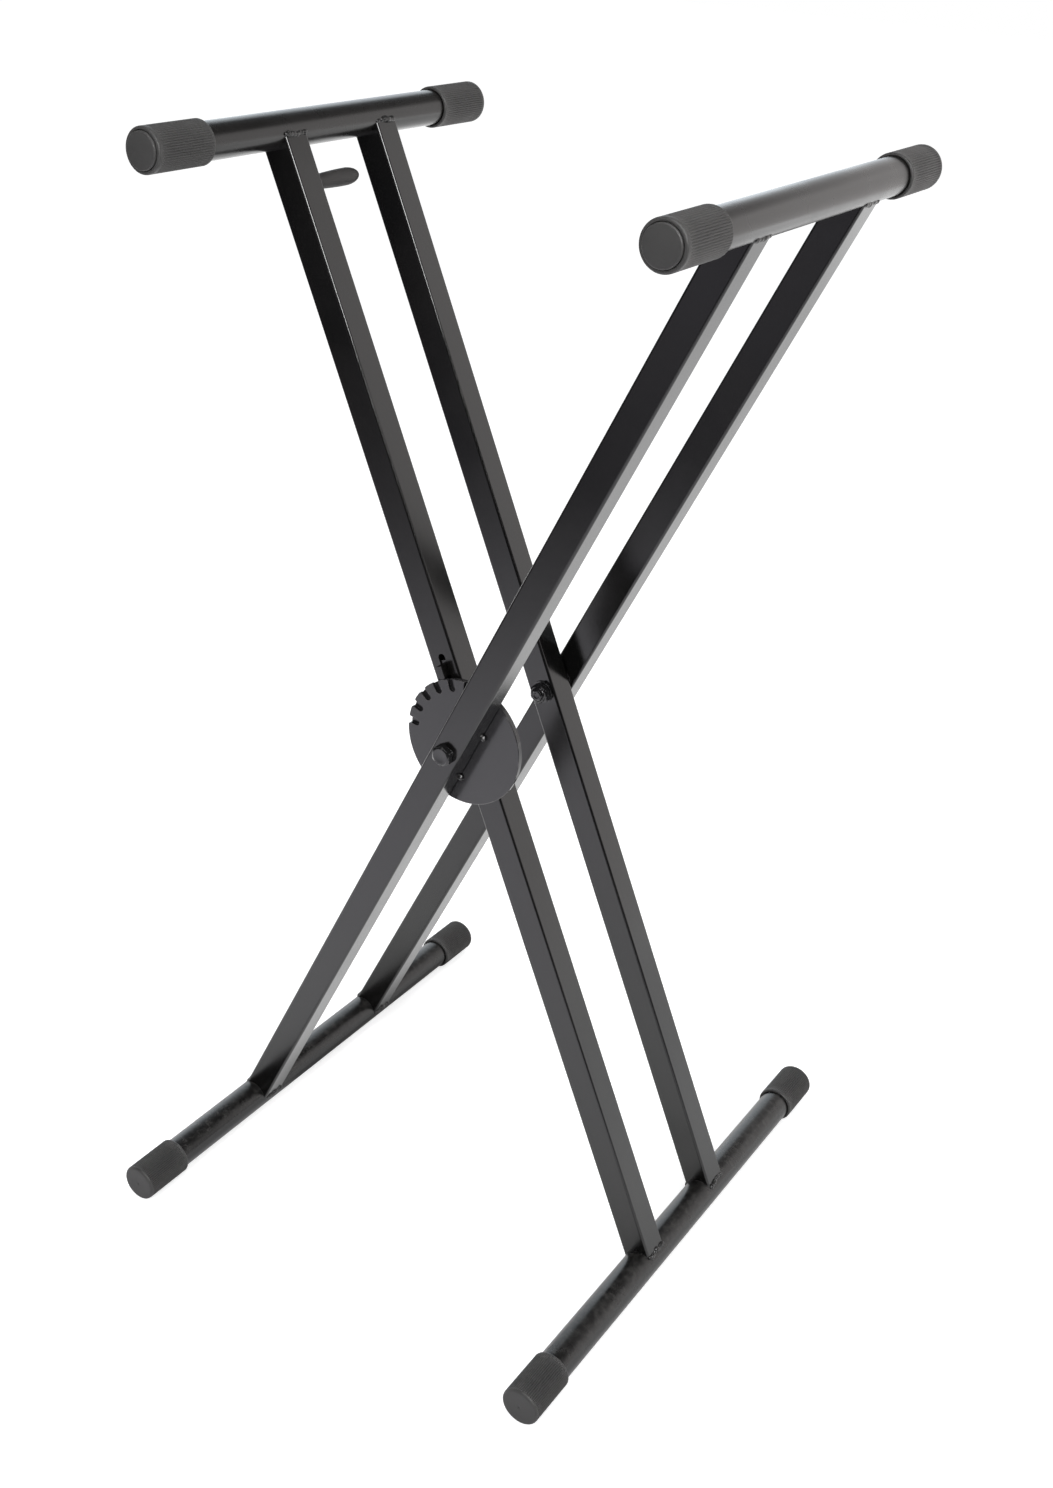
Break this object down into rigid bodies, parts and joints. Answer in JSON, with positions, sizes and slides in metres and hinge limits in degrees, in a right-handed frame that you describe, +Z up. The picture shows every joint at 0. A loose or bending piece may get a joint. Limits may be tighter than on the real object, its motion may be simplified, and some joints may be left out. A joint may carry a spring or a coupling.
{
  "type": "keyboard stand",
  "caption": "Folding double-braced X-frame keyboard stand with a notched height disc, a sprung latch with a release grip, and rubber end caps.",
  "frame": {"origin": "on the floor, midway between the four feet", "axes": "+X across the spread of the legs, +Y from the front legs with the height disc to the rear legs, +Z up from the floor"},
  "size_m": [0.443, 0.504, 0.9231],
  "materials": {
    "frame_paint": "satin black powder coat",
    "dark_hardware": "dark plated",
    "cap_rubber": "matte moulded",
    "grip_rubber": "matte moulded",
    "bare_steel": "plated wire and bar",
    "nylon": "natural"
  },
  "bodies": {
    "outer_frame": {"outer_leg_front": "frame_paint", "outer_leg_rear": "frame_paint", "outer_top_tube": "frame_paint", "outer_foot_tube": "frame_paint", "outer_frame_welds": "frame_paint", "outer_top_cap_front": "cap_rubber", "outer_top_cap_rear": "cap_rubber", "outer_foot_cap_front": "cap_rubber", "outer_foot_cap_rear": "cap_rubber", "height_disc": "frame_paint", "disc_welds": "frame_paint", "pivot_bolt_front": "dark_hardware", "pivot_bolt_rear": "dark_hardware", "pivot_nuts": "dark_hardware", "nut_washers": "dark_hardware", "spacer_washers": "dark_hardware"},
    "inner_frame": {"guide_disc": "frame_paint", "inner_leg_front": "frame_paint", "inner_leg_rear": "frame_paint", "inner_top_tube": "frame_paint", "inner_foot_tube": "frame_paint", "inner_frame_welds": "frame_paint", "inner_top_cap_front": "cap_rubber", "inner_top_cap_rear": "cap_rubber", "inner_foot_cap_front": "cap_rubber", "inner_foot_cap_rear": "cap_rubber", "pivot_sleeves": "bare_steel", "rod_guides": "nylon"},
    "latch": {"pull_rod": "bare_steel", "release_grip": "grip_rubber", "locking_dog": "frame_paint", "dog_pin": "bare_steel", "return_spring": "bare_steel"}
  },
  "joints": [
    {"name": "fold", "type": "hinge", "parent": "outer_frame", "child": "inner_frame", "pos_m": [0, 0, 0.46156], "axis": [0, 1, 0], "range_deg": [-61, 44.8]},
    {"name": "latch_pull", "type": "slide", "parent": "inner_frame", "child": "latch", "axis": [-0.4183, 0, 0.9083], "range_m": [0, 0.0065], "stiffness_N_per_m": 400, "springref_m": -0.02, "deforming": ["return_spring"]}
  ]
}
